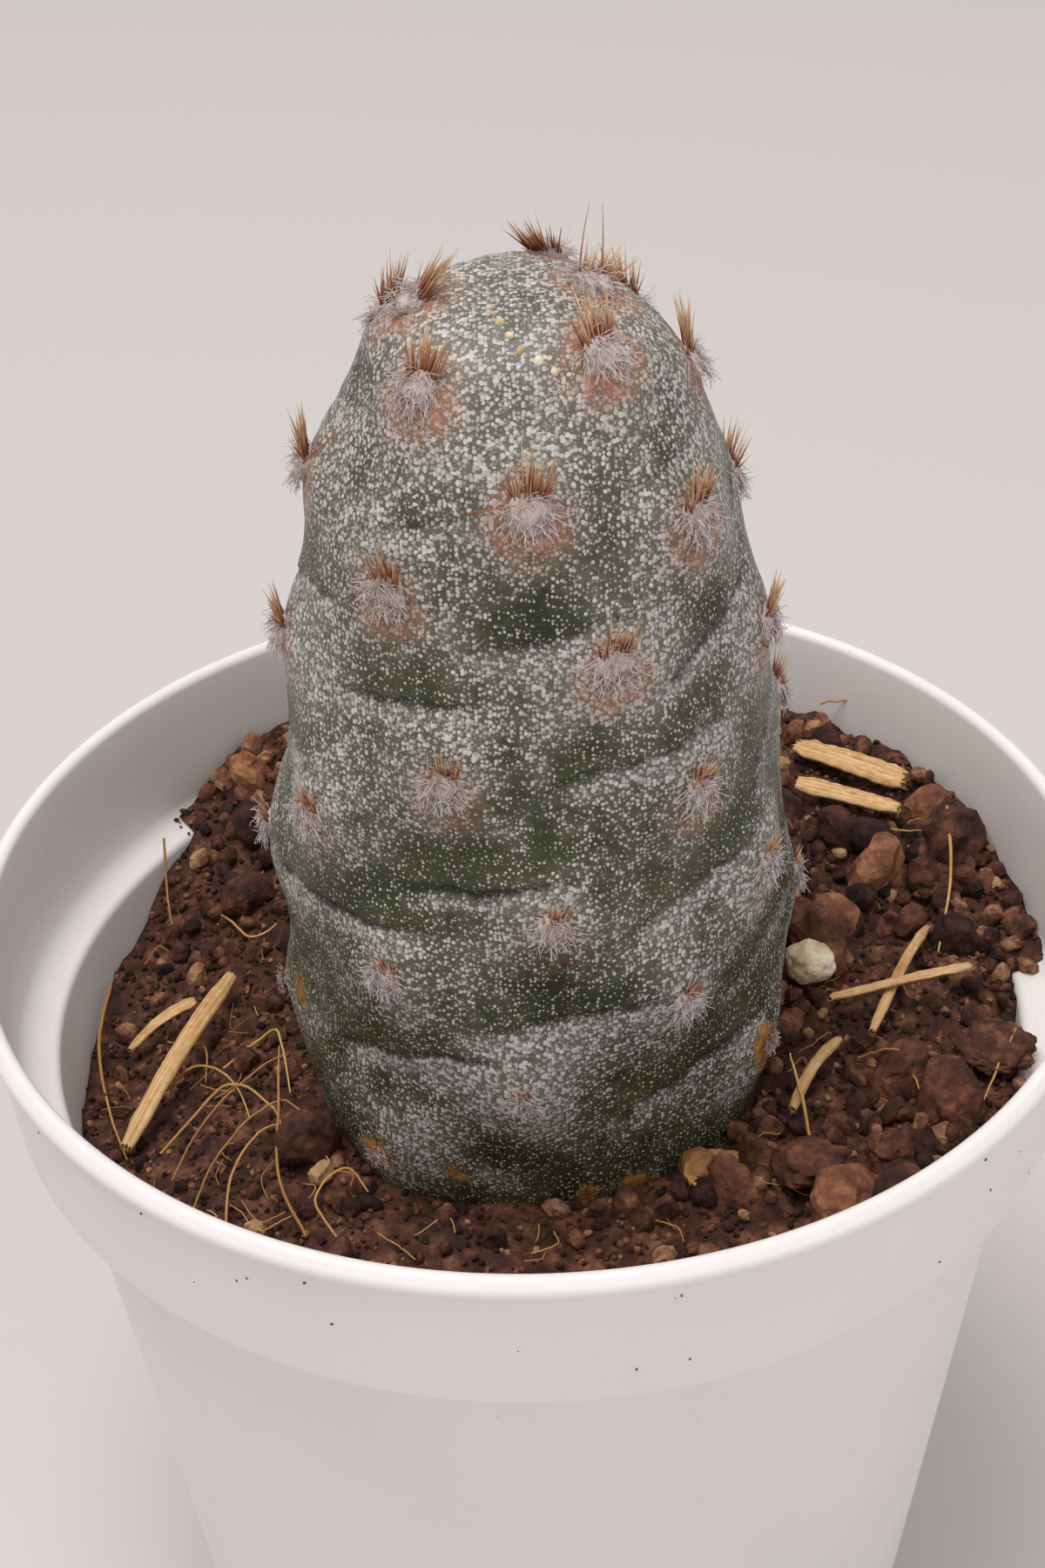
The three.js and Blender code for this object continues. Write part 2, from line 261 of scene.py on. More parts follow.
def makeCactusSkin():
    material, tree, shader, place = newMaterial("waxyCactusSkin", 0.5, 1.42)
    dotScale = 1 / (skinSet["dotSpacing"] * mm)
    bend = addNoise(tree, place, 900.0, 1.0)
    moved = addNode(tree, "ShaderNodeMix", {0: 0.00018, 4: place, 5: bend.outputs["Color"]},
                    data_type="VECTOR")
    cells = addNode(tree, "ShaderNodeTexVoronoi", {"Vector": moved.outputs[1], "Scale": dotScale,
                                                   "Randomness": 0.85})
    cellDistance = cells.outputs["Distance"]
    cellRandom = addNode(tree, "ShaderNodeSeparateColor", {0: cells.outputs["Color"]}).outputs[0]
    # grey bloom lies in soft patches, thicker round the areoles and under each crease
    patches = addNoise(tree, place, 1 / (skinSet["patchSize"] * mm), 4.0, 0.6)
    fine = addNoise(tree, place, 1500.0, 3.0, 0.7)
    bloom = addMath(tree, "ADD", patches.outputs["Fac"], readAttribute(tree, "bloom"))
    bloom = addMath(tree, "ADD", bloom,
                    addMath(tree, "MULTIPLY", addMath(tree, "SUBTRACT", fine.outputs["Fac"], 0.5), 0.45))
    bloomMask = mapRange(tree, bloom, 0.34, 0.74)
    # dots: bigger and more of them where the bloom is thick
    size = mapRange(tree, bloomMask, 0, 1, 0.34, 0.64)
    size = addMath(tree, "MULTIPLY", size, mapRange(tree, cellRandom, 0, 1, 0.70, 1.15))
    edge = addMath(tree, "SUBTRACT", size, cellDistance)
    dots = mapRange(tree, edge, -0.05, 0.10)
    green = addRamp(tree, patches.outputs["Fac"], [(0.3, "272a14"), (0.5, "3b3f25"), (0.7, "4e4f38")])
    veiled = addMix(tree, addMath(tree, "MULTIPLY", bloomMask, 0.48), green, linear("85807c"))
    dotColour = addRamp(tree, cellRandom, [(0.0, "7f8074"), (0.5, "b0aca6"), (1.0, "dcd7d4")])
    skin = addMix(tree, addMath(tree, "MULTIPLY", dots, 0.82), veiled, dotColour)
    # painted shade: the skin darkens towards near-black green along each crease groove
    skin = addMix(tree, addMath(tree, "MULTIPLY", readAttribute(tree, "crease"), 0.9, True), skin,
                  linear("161c12"))
    blushStrength = addMath(tree, "MULTIPLY", readAttribute(tree, "blush"),
                            mapRange(tree, fine.outputs["Fac"], 0.3, 0.6), True)
    skin = addMix(tree, blushStrength, skin, linear("b47658"))
    cork = addRamp(tree, fine.outputs["Fac"], [(0.3, "5b3517"), (0.5, "a0702f"), (0.7, "c79a56")])
    corkMask = addNode(tree, "ShaderNodeMapRange",
                       {0: addMath(tree, "ADD", readAttribute(tree, "cork"), fine.outputs["Fac"]), 1: 0.85,
                        2: 1.1}).outputs[0]
    skin = addMix(tree, corkMask, skin, cork)
    tree.links.new(skin, shader.inputs["Base Color"])
    height = addMath(tree, "ADD", dots, addMath(tree, "MULTIPLY", fine.outputs["Fac"], 0.6))
    addBump(tree, shader, 0.7, skinSet["dotDepth"] * mm, height)
    rough = mapRange(tree, dots, 0, 1, 0.42, 0.62)
    tree.links.new(rough, shader.inputs["Roughness"])
    return material


# strands: their colour runs from root to tip, with a different tint for each strand
def makeStrandMaterial(name, stops, roughness, sheen=0.0):
    material, tree, shader, place = newMaterial(name, roughness, 1.5)
    blotch = addNoise(tree, place, 2200.0, 3.0)
    shift = addMath(tree, "MULTIPLY", addMath(tree, "SUBTRACT", blotch.outputs["Fac"], 0.5), 0.5)
    tone = addMath(tree, "ADD", readAttribute(tree, "along"), shift)
    tone = addMath(tree, "ADD", tone, readAttribute(tree, "tint"), True)
    colour = addRamp(tree, tone, stops)
    tree.links.new(colour, shader.inputs["Base Color"])
    addBump(tree, shader, 0.3, 0.02 * mm, blotch.outputs["Fac"])
    shader.inputs["Sheen Weight"].default_value = sheen
    return material


polypropylene = makePolypropylene()
pottingMix = makePottingMix("pottingMix", [(0.3, "22120d"), (0.5, "4a2a1f"), (0.64, "744936"),
                                           (0.85, "b38762")],
                            900.0, 0.12 * mm)
barkCrumb = makePottingMix("barkCrumb", [(0.3, "25140f"), (0.48, "4f2d22"), (0.64, "7d4f3a"),
                                         (0.86, "bd956c")],
                           1100.0, 0.15 * mm)
lavaCrumb = makePottingMix("lavaCrumb", [(0.3, "2a1510"), (0.5, "573226"), (0.66, "80503b"),
                                         (0.85, "b27f55")],
                           900.0, 0.2 * mm)
perliteMix = makePottingMix("expandedPerlite", [(0.3, "b79c76"), (0.5, "e6d5b2"), (0.7, "f4ecd8")], 600.0,
                            0.12 * mm)
cactusSkin = makeCactusSkin()
woolFibre = makeStrandMaterial("areoleWool", [(0.0, "8f7468"), (0.35, "b5a39d"), (0.7, "cfc4c2"),
                                              (1.0, "e0d8d8")], 0.8, 0.3)
glochidHorn = makeStrandMaterial("glochidHorn", [(0.0, "6a3524"), (0.35, "a5684a"), (0.65, "cfa37a"),
                                                 (1.0, "ead6b4")], 0.45)
rootFibre = makeStrandMaterial("rootFibre", [(0.0, "9a6a34"), (0.5, "c2924f"), (1.0, "e0bb7c")], 0.6)
dryStraw = makeStrandMaterial("dryStraw", [(0.0, "8a5a2e"), (0.3, "b98a4f"), (0.6, "d9b583"),
                                           (1.0, "eed9b4")], 0.6)
print("materials ready")


# pot: a thin moulded nursery pot, finer than its solid but on the same outline
potSet = {"height": 50.0, "rim": 27.5, "lip": 1.15, "wall": 0.55, "collarTop": 27.0, "collarFoot": 26.5,
          "step": 41.8, "bodyTop": 24.65, "foot": 19.8, "footWidth": 1.1, "floor": 1.5, "floorThick": 0.8,
          "segments": 224, "drainRing": 12.5, "drainRadius": 1.7, "drains": 6}


def arcPoints(centre, radius, fromAngle, toAngle, count):
    points = []
    for i in range(count):
        a = math.radians(fromAngle + (toAngle - fromAngle) * i / (count - 1))
        points.append((centre[0] + radius * math.cos(a), centre[1] + radius * math.sin(a)))
    return points


def bodyRadius(z):
    return potSet["foot"] + (potSet["bodyTop"] - potSet["foot"]) * z / potSet["step"]


def collarRadius(z):
    top = potSet["height"] - potSet["lip"]
    return potSet["collarFoot"] + (potSet["collarTop"] - potSet["collarFoot"]) * (z
                                                                                  - potSet["step"]) / (top - potSet["step"])


def potProfile():
    s = potSet
    underLip = s["height"] - s["lip"]
    inner = s["foot"] - s["footWidth"]
    ledge = s["step"] + s["wall"]
    wall = s["wall"]
    floorTop = s["floor"] + s["floorThick"]
    profile = [(0.0, s["floor"]), (8.0, s["floor"]), (inner - 0.3, s["floor"])]
    profile += arcPoints((inner - 0.3, s["floor"] - 0.3), 0.3, 90, 0, 4)
    profile += [(inner, 0.15), (inner + 0.15, 0.0), (s["foot"] - 0.2, 0.0), (s["foot"] + 0.01, 0.2)]
    profile += [(bodyRadius(z), z) for z in (5, 12, 20, 28, 35, 39)]
    profile += arcPoints((bodyRadius(s["step"]) + 0.5, s["step"] - 0.5), 0.5, 180, 90, 6)
    profile += arcPoints((s["collarFoot"] - 0.35, s["step"] + 0.35), 0.35, -90, 0, 6)
    profile += [(collarRadius(z), z) for z in (43.5, 45.5, 47.5)]
    profile += [(s["collarTop"] - 0.03, underLip - 0.25)]
    # a fine parting line runs round under the bead
    profile += arcPoints((s["collarTop"] + 0.12, underLip - 0.02), 0.15, 200, 120, 4)
    profile += arcPoints((s["rim"] - 0.5, s["height"] - 0.62), 0.5, -50, 60, 8)
    profile += arcPoints((s["rim"] - 0.55, s["height"] - 0.45), 0.45, 65, 175, 9)
    profile += [(collarRadius(47.5) - wall, 47.5), (collarRadius(45.5) - wall, 45.5),
                (collarRadius(43.8) - wall, 43.8)]
    profile += arcPoints((collarRadius(43.2) - wall - 0.8, ledge + 0.8), 0.8, 0, -90, 8)
    profile += [(bodyRadius(s["step"]) - wall + 0.55, ledge)]
    profile += arcPoints((bodyRadius(s["step"]) - wall + 0.45, ledge - 0.45), 0.45, 90, 180, 6)
    profile += [(bodyRadius(z) - wall, z) for z in (38, 30, 20, 10, floorTop + 0.6)]
    profile += [(bodyRadius(floorTop) - wall - 0.5, floorTop), (8.0, floorTop), (0.0, floorTop)]
    return profile


def makePot():
    profile = potProfile()
    count = potSet["segments"]
    points = [(0, 0, profile[0][1] * mm)]
    for r, z in profile[1:-1]:
        for k in range(count):
            a = 2 * math.pi * k / count
            points.append((r * math.cos(a) * mm, r * math.sin(a) * mm, z * mm))
    points.append((0, 0, profile[-1][1] * mm))
    rows = len(profile) - 2
    faces = [(0, 1 + (k + 1) % count, 1 + k) for k in range(count)]
    faces += [tuple(reversed(face)) for face in gridFaces(rows, count, 1)]
    last = 1 + (rows - 1) * count
    faces += [(len(points) - 1, last + k, last + (k + 1) % count) for k in range(count)]
    pot = meshObject("nurseryPot", points, faces, polypropylene)
    drills = []
    for i in range(potSet["drains"]):
        a = math.radians(30 + i * 360 / potSet["drains"])
        bpy.ops.mesh.primitive_cylinder_add(
            vertices=40, radius=potSet["drainRadius"] * mm, depth=5 * mm,
            location=(potSet["drainRing"] * math.cos(a) * mm, potSet["drainRing"] * math.sin(a) * mm,
                      1.9 * mm))
        drills.append(bpy.context.object)
    for drill in drills:
        modifier = pot.modifiers.new("drain", "BOOLEAN")
        modifier.object = drill
        modifier.operation = "DIFFERENCE"
        modifier.solver = "EXACT"
    bakeModifier(pot)
    for drill in drills:
        bpy.data.objects.remove(drill)
    return finishPiece(pot, "polypropylene", "pot")


makePot()
print("pot ready")


# stem: one grown column with low tubercles, creases under them and a blunt crown
stemSet = {"y": -3.3, "around": 320, "upward": 292, "tubercle": 0.8, "reach": 2.2,
           "creaseDrop": 5.2, "creaseTurn": 4.0, "creaseHalf": 27.0, "creaseRise": 0.8, "creaseDepth": 0.24,
           "creaseWidth": 0.13}
stemOutline = [(0, 81.45), (1.4, 81.4), (2.6, 81.2), (3.7, 80.75), (4.65, 80.1), (5.5, 79.2), (6.3, 78.1),
               (7.05, 76.9), (7.75, 75.6), (8.35, 74.1), (8.75, 72.6), (9.15, 70.5), (9.6, 68.5),
               (10.15, 66),
               (10.6, 63), (10.95, 60), (11.35, 57), (11.6, 54), (11.6, 50), (11.5, 46), (11.1, 41),
               (10.35, 37),
               (9.6, 33.5), (8.0, 30.4), (4.6, 28.4), (0, 28)]


def catmullRom(points, perSpan):
    p = np.array([points[0]] + list(points) + [points[-1]], dtype=float)
    out = []
    for i in range(1, len(p) - 2):
        t = np.linspace(0, 1, perSpan, endpoint=False)[:, None]
        out.append(0.5 * (2 * p[i] + (p[i + 1] - p[i - 1]) * t + (2 * p[i - 1] - 5 * p[i] + 4 * p[i + 1]
                                                                  - p[i + 2]) * t ** 2
                          + (3 * p[i] - p[i - 1] - 3 * p[i + 1] + p[i + 2]) * t ** 3))
    return np.vstack(out + [p[-1:]])


outlineFine = catmullRom(stemOutline, 24)
outlineLength = np.r_[0, np.cumsum(np.hypot(*np.diff(outlineFine, axis=0).T))]
outlineTangent = np.gradient(outlineFine, axis=0)
outlineTangent /= np.maximum(np.linalg.norm(outlineTangent, axis=1, keepdims=True), 1e-9)
outlineNormal = np.stack([-outlineTangent[:, 1], outlineTangent[:, 0]], axis=1)


def columnPoint(angle, length):
    r = np.interp(length, outlineLength, outlineFine[:, 0])
    z = np.interp(length, outlineLength, outlineFine[:, 1])
    nr = np.interp(length, outlineLength, outlineNormal[:, 0])
    nz = np.interp(length, outlineLength, outlineNormal[:, 1])
    c, s = np.cos(angle), np.sin(angle)
    point = np.stack([r * c, stemSet["y"] + r * s, z], axis=-1)
    normal = np.stack([nr * c, nr * s, nz], axis=-1)
    return point, normal / np.linalg.norm(normal, axis=-1, keepdims=True)


def readAreoles():
    found = []
    for name in sorted(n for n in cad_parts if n.startswith("areole_")):
        centre = nodePoints(name).mean(axis=0) / mm
        angle = math.atan2(centre[1] - stemSet["y"], centre[0])
        flat = np.array([math.hypot(centre[0], centre[1] - stemSet["y"]), centre[2]])
        nearest = np.argmin(((outlineFine - flat) ** 2).sum(axis=1))
        point, normal = columnPoint(angle, outlineLength[nearest])
        found.append({"name": name, "angle": angle, "length": outlineLength[nearest],
                      "point": point, "normal": normal, "height": point[2]})
    return found


areoles = readAreoles()


def fieldNoise(points, scale, seed):
    offset = Vector((seed * 7.3, -seed * 3.1, seed * 5.7))
    return np.array([noise.noise(Vector(p) * scale + offset) for p in points])


def wrapAngle(a):
    return (a + math.pi) % (2 * math.pi) - math.pi


def shapeSkin(angles, lengths):
    flatAngle, flatLength = angles.ravel(), lengths.ravel()
    point, normal = columnPoint(flatAngle, flatLength)
    broad = fieldNoise(point, 0.16, 1.0)
    middle = fieldNoise(point, 0.45, 2.0)
    small = fieldNoise(point, 1.3, 3.0)
    lift = np.zeros(len(point))
    crease = np.zeros(len(point))
    under = np.zeros(len(point))
    above = np.zeros(len(point))
    halo = np.zeros(len(point))
    blush = np.zeros(len(point))
    s = stemSet
    random.seed(11)
    for areole in areoles:
        d = np.linalg.norm(point - areole["point"], axis=1)
        lift += s["tubercle"] * np.exp(-0.5 * (d / s["reach"]) ** 2)
        halo = np.maximum(halo, np.exp(-0.5 * (d / 1.9) ** 2))
        upper = float(np.clip((areole["height"] - 55) / 22, 0, 1))
        below = areole["point"] - np.array([0, 0, 1.0]) * (1 - 0.6 * abs(areole["normal"][2]))
        ring = np.exp(-0.5 * ((np.linalg.norm(point - below, axis=1) - 0.9) / 0.55) ** 2)
        blush = np.maximum(blush, ring * (0.06 + 0.78 * upper))
        # the crease under this tubercle: a shallow arc, deepest in the middle
        turn = random.uniform(-3, 5)
        half = s["creaseHalf"] * random.uniform(0.8, 1.1)
        rise = s["creaseRise"] + random.uniform(-0.5, 0.6)
        drop = s["creaseDrop"] + random.uniform(-0.4, 0.4)
        strength = random.uniform(0.6, 1.0) * (1.0 if areole["height"] < 77 else 0.55)
        across = np.degrees(wrapAngle(flatAngle - areole["angle"])) - s["creaseTurn"] - turn
        arc = across / half
        line = areole["length"] + drop - rise * arc - 0.35 * (1 - arc ** 2) + 0.35 * middle + 0.12 * small
        away = flatLength - line
        fade = np.clip(1 - arc ** 4, 0, 1) * (np.abs(arc) < 1)
        broken = np.clip(0.9 + 1.4 * small, 0.15, 1)
        groove = np.exp(-0.5 * (away / s["creaseWidth"]) ** 2) * fade * strength * broken
        crease = np.maximum(crease, groove)
        under = np.maximum(under, np.exp(-0.5 * ((away - 0.6) / 0.38) ** 2) * fade * strength * (away > 0))
        above = np.maximum(above, np.exp(-0.5 * ((away + 0.9) / 0.9) ** 2) * fade * strength)
        # the skin swells a little over the crease and tucks in under it
        lift += 0.06 * strength * fade * np.tanh(-away / 0.35) * np.exp(-np.abs(away) / 1.4)
    lift = np.minimum(lift, s["tubercle"] * 1.25)
    lift += 0.28 * broad + 0.10 * middle + 0.025 * small - s["creaseDepth"] * crease
    top = np.clip((point[:, 2] - 80.2) / 1.2, 0, 1)
    lift += 0.16 * top * fieldNoise(point, 0.9, 5.0)
    bloom = (0.26 * halo + 0.38 * under - 0.26 * above - 0.05 + 0.16 * smoothStep(point[:, 2], 60, 78)
             - 0.10 * smoothStep(-point[:, 2], -47, -42) + 0.20 * broad)
    # the crease mask cuts the grooves and also carries painted shade, which the skin material darkens along them
    return point, normal, lift, {"crease": crease, "bloom": bloom, "blush": blush}


corkPatches = [(-129, 43.9, 1.5), (-150, 44.5, 1.0), (-110, 43.4, 0.9), (-68, 42.0, 1.4), (-80, 41.8, 0.9),
               (-33, 47.2, 1.3), (-30, 45.4, 0.9), (-163, 48.6, 1.3), (-92, 49.4, 0.45), (60, 44, 1.2)]


def corkField(point):
    value = np.zeros(len(point))
    for angle, height, size in corkPatches:
        a = math.radians(angle)
        centre, _ = columnPoint(a, outlineLength[np.argmin(np.abs(outlineFine[60:, 1] - height)) + 60])
        value = np.maximum(value, np.exp(-0.5 * (np.linalg.norm(point - centre,
                                                                axis=1) / (0.62 * size)) ** 2))
    return value * 0.75


def skinPlace(angle, length):
    point, normal, lift, _ = shapeSkin(np.array([angle]), np.array([length]))
    return (point + normal * lift[:, None])[0], normal[0]


def makeStem():
    around, upward = stemSet["around"], stemSet["upward"]
    total = outlineLength[-1]
    buried = total - 26.0
    # rows are close together above the soil and wide apart below it
    lengths = np.r_[np.linspace(0.12, buried, upward - 14), np.linspace(buried, total, 16)[1:-1]]
    angles = np.arange(around) * 2 * math.pi / around
    grid = np.meshgrid(angles, lengths)
    point, normal, lift, fields = shapeSkin(grid[0], grid[1])
    placed = (point + normal * lift[:, None]) * mm
    topPoint = placed[:around].mean(axis=0)
    footPoint = np.array([0, stemSet["y"] * mm, stemOutline[-1][1] * mm])
    points = np.vstack([[topPoint], placed, [footPoint]])
    rows = len(lengths)
    faces = [(0, 1 + k, 1 + (k + 1) % around) for k in range(around)]
    faces += gridFaces(rows, around, 1)
    last = 1 + (rows - 1) * around
    faces += [(len(points) - 1, last + (k + 1) % around, last + k) for k in range(around)]
    stem = meshObject("stemSkin", points, faces, cactusSkin)
    fields["cork"] = corkField(point)
    for name, values in fields.items():
        setAttribute(stem, name, np.r_[values[0], values, values[-1]])
    return finishPiece(stem, "cactus_skin", "stem")


makeStem()
print("stem ready")


# a tree that turns guide lines into strands: a round tube along each line
def makeStrandTree():
    tree, entry, out = newTree("strands", [("Thickness", "NodeSocketFloat", 1.0),
                                           ("Sides", "NodeSocketInt", 4),
                                           ("Material", "NodeSocketMaterial", None)])
    curves = addNode(tree, "GeometryNodeMeshToCurve", {0: entry.outputs["Geometry"]})
    thick = addNode(tree, "GeometryNodeInputNamedAttribute", {"Name": "thick"}, data_type="FLOAT")
    scaled = addNode(tree, "ShaderNodeMath", {0: thick.outputs[0], 1: entry.outputs["Thickness"]},
                     operation="MULTIPLY")
    section = addNode(tree, "GeometryNodeCurvePrimitiveCircle", {"Resolution": entry.outputs["Sides"],
                                                                 "Radius": 1.0})
    tubes = addNode(tree, "GeometryNodeCurveToMesh",
                    {"Curve": curves.outputs[0], "Profile Curve": section.outputs[0],
                     "Scale": scaled.outputs[0],
                     "Fill Caps": True})
    realized = addNode(tree, "GeometryNodeRealizeInstances", {0: tubes.outputs[0]})
    coated = addNode(tree, "GeometryNodeSetMaterial", {"Geometry": realized.outputs[0],
                                                       "Material": entry.outputs["Material"]})
    tree.links.new(coated.outputs[0], out.inputs[0])
    return tree


strandTree = makeStrandTree()


def strandPiece(name, strands, material, sides=4):
    points, edges, thick, along, tint = [], [], [], [], []
    for strand in strands:
        start = len(points)
        count = len(strand["path"])
        points += [tuple(np.asarray(p) * mm) for p in strand["path"]]
        edges += [(start + i, start + i + 1) for i in range(count - 1)]
        for i in range(count):
            t = i / (count - 1)
            thick.append(strand["radius"] * mm * (1 - strand.get("taper", 0.9) * t ** strand.get("power",
                                                                                                 1.0)))
            along.append(t * strand.get("gradient", 1.0))
            tint.append(strand.get("tint", 0.0))
    mesh = bpy.data.meshes.new(name)
    mesh.from_pydata(points, edges, [])
    piece = bpy.data.objects.new(name, mesh)
    scene.collection.objects.link(piece)
    for label, values in (("thick", thick), ("along", along), ("tint", tint)):
        setAttribute(piece, label, values)
    runTree(piece, strandTree, Thickness=1.0, Sides=sides, Material=material)
    piece.data.polygons.foreach_set("use_smooth", [True] * len(piece.data.polygons))
    return piece


# areoles: a felted pad of wool that droops, with barbed bristles standing up out of it
woolSet = {"hairs": 130, "radius": 0.027, "length": (0.45, 1.0), "pad": 0.85, "felt": 0.8}
padSet = {"rings": 9, "around": 22}
glochidSet = {"count": 36, "radius": 0.058, "length": (0.9, 1.9), "spread": 0.42}


def areoleFrame(areole):
    point, normal = skinPlace(areole["angle"], areole["length"])
    up = np.array([0.0, 0.0, 1.0]) - normal * normal[2]
    if np.linalg.norm(up) < 0.35:
        # on the flat crown the tuft leans to the back
        up = -np.cross(normal, np.cross(np.array([-0.2, -1.0, 0.3]), normal))
    up = up / np.linalg.norm(up)
    side = np.cross(up, normal)
    return point, normal, up, side


def bentPath(start, direction, length, bend, steps, wobble=0.0):
    path = [np.array(start)]
    direction = direction / np.linalg.norm(direction)
    for _ in range(steps):
        direction = direction + bend / steps
        if wobble:
            direction = direction + np.array([random.gauss(0, wobble) for _ in range(3)])
        direction = direction / np.linalg.norm(direction)
        path.append(path[-1] + direction * length / steps)
    return path


def feltPad(point, normal, up, side, size, seed):
    # a lumpy cushion of felted wool, sagging over its lower edge
    rings, around = padSet["rings"], padSet["around"]
    rows = []
    for ring in range(rings):
        t = ring / (rings - 1)
        for k in range(around):
            a = 2 * math.pi * k / around
            r = size * (0.15 + 0.85 * math.sin(t * math.pi / 2))
            h = 0.62 * size * math.cos(t * math.pi / 2) ** 0.8 - 0.22 * t
            p = side * (r * math.cos(a)) + up * (r * math.sin(a) * 0.92 - 0.18 * t)
            lump = 1 + 0.30 * noise.noise(Vector((math.cos(a) * 2.2 * t, math.sin(a) * 2.2 * t, seed)))
            dip = 0.30 * math.exp(-(r / (0.5 * size)) ** 2)
            rows.append(point + p * lump + normal * (h * lump - dip))
    return rows, gridFaces(rings, around)


def makeAreoles():
    wool, bristles, feltPoints, feltFaces, feltTint = [], [], [], [], []
    random.seed(5)
    for index, areole in enumerate(areoles):
        point, normal, up, side = areoleFrame(areole)
        upper = float(np.clip((areole["height"] - 46) / 30, 0, 1))
        old = float(np.clip((52 - areole["height"]) / 5, 0, 1))
        size = (0.78 + 0.28 * upper) * (1 - 0.35 * old) * random.uniform(0.92, 1.08)
        pad, padFaces = feltPad(point, normal, up, side, woolSet["felt"] * size, index * 3.7)
        start = len(feltPoints)
        around = padSet["around"]
        feltPoints += pad + [pad[0] * 0.5 + pad[around // 2] * 0.5, point - normal * 0.5]
        feltFaces += [tuple(start + v for v in face) for face in padFaces]
        last = start + len(pad) - around
        feltFaces += [(start + k, start + (k + 1) % around, start + len(pad)) for k in range(around)]
        feltFaces += [(last + (k + 1) % around, last + k, start + len(pad) + 1) for k in range(around)]
        feltTint += [random.uniform(-0.12, 0.05) - 0.2 * old] * (len(pad) + 2)
        # wool: short matted locks that share a lean, most of them hanging down
        locks = [(random.gauss(0, 0.55), random.gauss(0, 0.4)) for _ in range(10)]
        for k in range(int(woolSet["hairs"] * (1 - 0.45 * old))):
            lock = locks[k % len(locks)]
            a = random.uniform(0, 2 * math.pi)
            r = woolSet["pad"] * size * (0.25 + 0.75 * random.random())
            start = point + side * (r * math.cos(a)) + up * (r * math.sin(a) * 0.9
                                                             - 0.1) + normal * (0.35 * size * (1 - r))
            lean = side * (0.35 * math.cos(a) + lock[0]) + up * (0.2 * math.sin(a) - 0.35 + lock[1])
            direction = normal * random.uniform(0.2, 0.8) + lean
            bend = -up * random.uniform(0.4, 2.0) + side * random.gauss(0,
                                                                        1.2) - normal * random.uniform(0.0,
                                                                                                       0.7)
            length = random.uniform(*woolSet["length"]) * size
            wool.append({"path": bentPath(start, direction, length, bend, 6, 0.22),
                         "radius": woolSet["radius"],
                         "taper": 0.5, "tint": random.uniform(-0.25, 0.3) - 0.25 * old})
        count = int(glochidSet["count"] * (0.4 + 0.8 * upper) * (1 - 0.5 * old))
        tilt = random.gauss(0, 0.22)
        for k in range(count):
            a = random.uniform(0, 2 * math.pi)
            r = 0.62 * size * math.sqrt(random.random())
            start = point + side * (r * math.cos(a)) + up * (0.22 + r * math.sin(a) * 0.5) + normal * 0.05
            direction = (normal * random.uniform(0.45, 0.9) + up * random.uniform(0.7, 1.4)
                         + side * (glochidSet["spread"] * (r / 0.62) * math.cos(a) + tilt
                                   + random.gauss(0, 0.08)))
            length = random.uniform(*glochidSet["length"]) * (0.5 + 0.65 * upper) * size
            bristles.append({"path": bentPath(start, direction, length, up * random.uniform(-0.1, 0.3), 3),
                             "radius": glochidSet["radius"] * random.uniform(0.7, 1.2), "taper": 0.93,
                             "power": 1.3, "tint": random.uniform(-0.18, 0.2)})
    felt = meshObject("feltPads", np.array(feltPoints) * mm, feltFaces, woolFibre)
    setAttribute(felt, "along", [0.45] * len(feltPoints))
    setAttribute(felt, "tint", feltTint)
    woolPiece = strandPiece("areoleWool", wool, woolFibre, 3)
    bristlePiece = strandPiece("glochids", bristles, glochidHorn, 4)
    finishPiece(felt, "wool")
    finishPiece(woolPiece, "wool", *[a["name"] for a in areoles])
    finishPiece(bristlePiece, "wool")


makeAreoles()
print("areoles ready")


# soil: a bed that follows the solid's levels, covered in crumbs of three sizes
levelAtWall = [(-180, 37.4), (-140, 39.6), (-90, 41.4), (-40, 42.0), (8, 43.1), (33, 45.0), (90, 45.2),
               (128, 44.8),
               (145, 41.8), (160, 38.9), (180, 37.4)]
levelAtStem = [(-180, 41.0), (-90, 41.6), (-40, 42.0), (0, 43.0), (40, 44.2), (90, 44.6), (140, 43.0),
               (180, 41.0)]
soilSet = {"around": 300, "rings": 84, "inner": 9.5}


def along(pairs, key):
    for (lowKey, low), (highKey, high) in zip(pairs, pairs[1:]):
        if key <= highKey:
            t = min(max((key - lowKey) / (highKey - lowKey), 0), 1)
            return low + (high - low) * t * t * (3 - 2 * t)
    return pairs[-1][1]


def soilLevel(x, y):
    angle = math.degrees(math.atan2(y, x))
    outward = float(smoothStep(math.hypot(x, y - stemSet["y"]), 11, 23))
    return along(levelAtStem, angle) * (1 - outward) + along(levelAtWall, angle) * outward


def coarseness(x, y):
    # fine and sandy in front of the stem, lumpy on the right and at the back
    return float(np.clip(0.45 + 0.035 * x + 0.03 * (y + 6), 0.12, 1.0))


def soilTop(x, y):
    p = Vector((x, y, 0.0))
    rough = coarseness(x, y)
    lumps = 0.55 * noise.noise(p * 0.42) + 0.38 * rough * noise.noise(p * 0.95 + Vector((4, 1, 0)))
    fine = 0.20 * rough * noise.noise(p * 2.3 + Vector((9, 3, 0))) + 0.07 * noise.noise(p * 6.0)
    angle = math.degrees(math.atan2(y, x))
    gap = 1.6 * math.exp(-((angle + 7) / 9) ** 2) * float(smoothStep(math.hypot(x, y), 21.5, 24.0))
    return soilLevel(x, y) + lumps + fine - gap


def wallRadius(z):
    ledge = potSet["step"] + potSet["wall"]
    if z < ledge + 0.1:
        return bodyRadius(z) - potSet["wall"]
    return collarRadius(z) - potSet["wall"]


